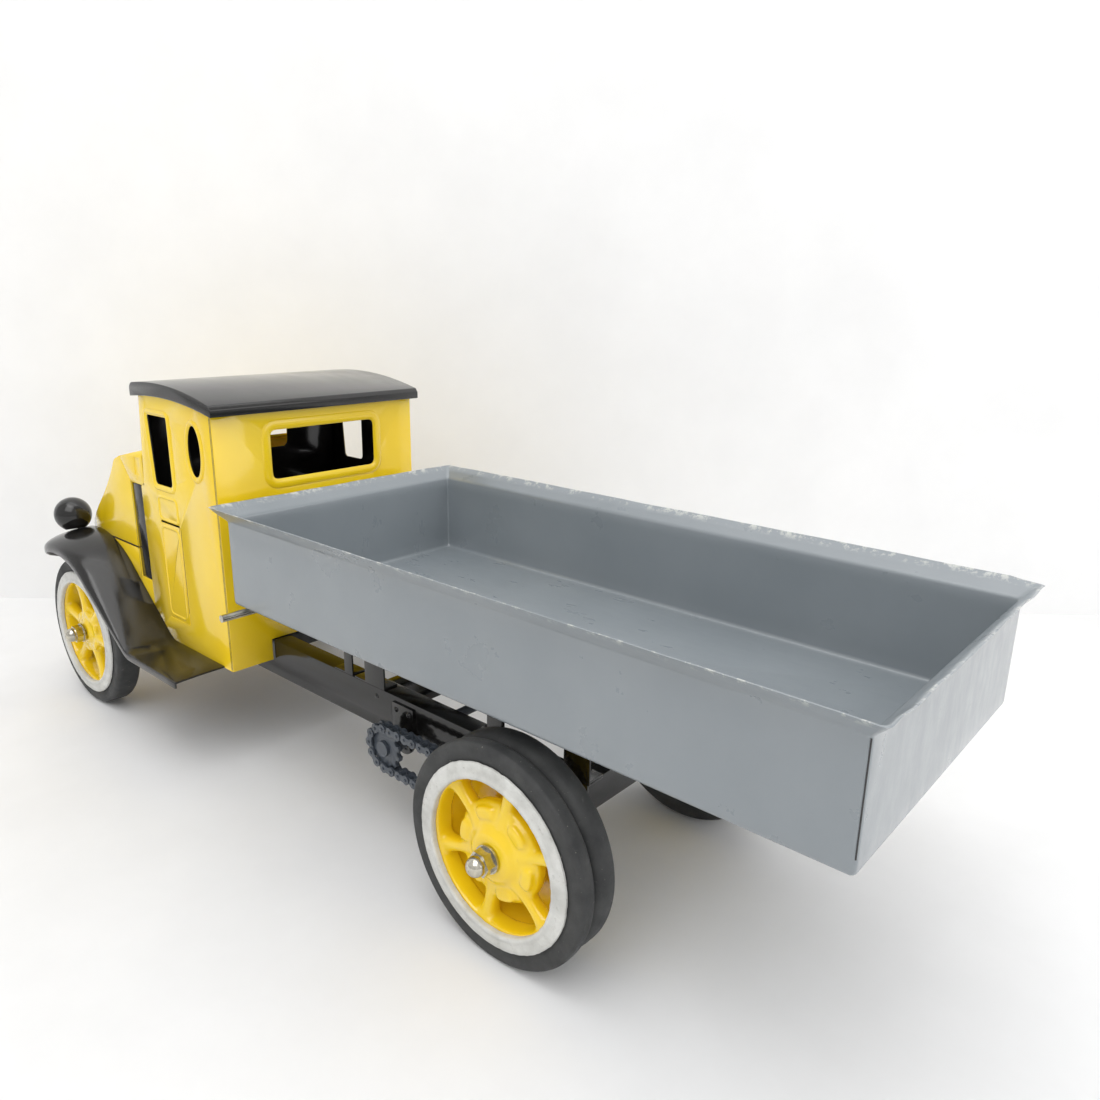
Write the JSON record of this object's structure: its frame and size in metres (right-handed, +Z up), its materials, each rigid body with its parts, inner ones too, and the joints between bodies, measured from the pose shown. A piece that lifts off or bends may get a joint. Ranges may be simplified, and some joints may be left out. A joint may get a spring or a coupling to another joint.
{
  "type": "push along truck",
  "caption": "Pressed-metal push along truck with an enclosed cab, sloping hood, fenders, tipping tray bed, chain drive and dual rear wheels.",
  "frame": {"origin": "on the floor under the middle of the truck's bounding box", "axes": "+X points forward along the truck, +Y to its left, +Z up"},
  "size_m": [0.647, 0.231, 0.2442],
  "materials": {
    "yellow_enamel": "gloss enamel",
    "black_enamel": "gloss enamel",
    "bed_enamel": "satin blue-grey enamel",
    "trim_paint": "worn off-white paint",
    "tyre_rubber": "matte rubber",
    "bright_steel": "bright plated",
    "chain_steel": "dark grey paint on steel",
    "lens_silver": "silvered"
  },
  "bodies": {
    "chassis": {"frame_rail_left": "black_enamel", "frame_rail_right": "black_enamel", "frame_cross_members": "black_enamel", "body_rests": "black_enamel", "tip_brackets": "black_enamel", "tip_pin": "bright_steel", "rear_axle": "bright_steel", "front_axle": "bright_steel", "rear_axle_hangers": "black_enamel", "front_axle_hangers": "black_enamel", "axle_spacers": "bright_steel", "jackshaft": "chain_steel", "jackshaft_hangers": "black_enamel", "frame_rivets": "black_enamel", "drive_chain_left": "chain_steel", "drive_chain_right": "chain_steel", "cab_left_side": "yellow_enamel", "cab_right_side": "yellow_enamel", "cab_rear_wall": "yellow_enamel", "cab_front_wall": "yellow_enamel", "cab_floor": "black_enamel", "cab_roof": "black_enamel", "cowl": "yellow_enamel", "side_grilles": "black_enamel", "hood": "yellow_enamel", "hood_sills": "yellow_enamel", "fender_left": "black_enamel", "fender_right": "black_enamel", "headlight_left": "black_enamel", "headlight_right": "black_enamel", "headlight_lenses": "lens_silver", "steering_column": "black_enamel", "axle_nuts": "bright_steel", "axle_washers": "bright_steel"},
    "steering": {"steering_wheel": "black_enamel"},
    "front_wheel_left_body": {"front_wheel_left": "yellow_enamel", "front_trim_left": "trim_paint", "front_tyre_left": "tyre_rubber"},
    "rear_wheel_left_body": {"rear_wheel_left": "yellow_enamel", "rear_inner_rim_left": "yellow_enamel", "rear_trim_left": "trim_paint", "rear_outer_tyre_left": "tyre_rubber", "rear_inner_tyre_left": "tyre_rubber", "rear_sprocket_left": "chain_steel"},
    "jack_sprocket_left_body": {"jack_sprocket_left": "chain_steel"},
    "front_wheel_right_body": {"front_wheel_right": "yellow_enamel", "front_trim_right": "trim_paint", "front_tyre_right": "tyre_rubber"},
    "rear_wheel_right_body": {"rear_wheel_right": "yellow_enamel", "rear_inner_rim_right": "yellow_enamel", "rear_trim_right": "trim_paint", "rear_outer_tyre_right": "tyre_rubber", "rear_inner_tyre_right": "tyre_rubber", "rear_sprocket_right": "chain_steel"},
    "jack_sprocket_right_body": {"jack_sprocket_right": "chain_steel"},
    "bed": {"bed_tray": "bed_enamel", "bed_hinge_lugs": "bed_enamel", "bed_lift_rod": "bright_steel", "bed_rod_clips": "bed_enamel"}
  },
  "joints": [
    {"name": "front_left_spin", "type": "hinge", "parent": "chassis", "child": "front_wheel_left_body", "pos_m": [0.26, 0.094, 0.055], "axis": [0, 1, 0], "continuous": true},
    {"name": "rear_left_spin", "type": "hinge", "parent": "chassis", "child": "rear_wheel_left_body", "pos_m": [-0.155, 0.094, 0.055], "axis": [0, 1, 0], "continuous": true, "deforming": ["drive_chain_left"]},
    {"name": "jack_left_spin", "type": "hinge", "parent": "chassis", "child": "jack_sprocket_left_body", "pos_m": [-0.0407, 0.0595, 0.055], "axis": [0, 1, 0], "continuous": true},
    {"name": "front_right_spin", "type": "hinge", "parent": "chassis", "child": "front_wheel_right_body", "pos_m": [0.26, -0.094, 0.055], "axis": [0, 1, 0], "continuous": true},
    {"name": "rear_right_spin", "type": "hinge", "parent": "chassis", "child": "rear_wheel_right_body", "pos_m": [-0.155, -0.094, 0.055], "axis": [0, 1, 0], "continuous": true, "deforming": ["drive_chain_right"]},
    {"name": "jack_right_spin", "type": "hinge", "parent": "chassis", "child": "jack_sprocket_right_body", "pos_m": [-0.0407, -0.0595, 0.055], "axis": [0, 1, 0], "continuous": true},
    {"name": "bed_tip", "type": "hinge", "parent": "chassis", "child": "bed", "pos_m": [-0.167, 0, 0.1], "axis": [0, -1, 0], "range_deg": [0, 40]},
    {"name": "steering_wheel_spin", "type": "hinge", "parent": "chassis", "child": "steering", "pos_m": [0.12486, 0.02, 0.15475], "axis": [-0.6428, 0, 0.766], "continuous": true}
  ],
  "couplings": [
    {"joint": "jack_left_spin", "follows": "rear_left_spin", "ratio": 1},
    {"joint": "jack_right_spin", "follows": "rear_right_spin", "ratio": 1}
  ]
}
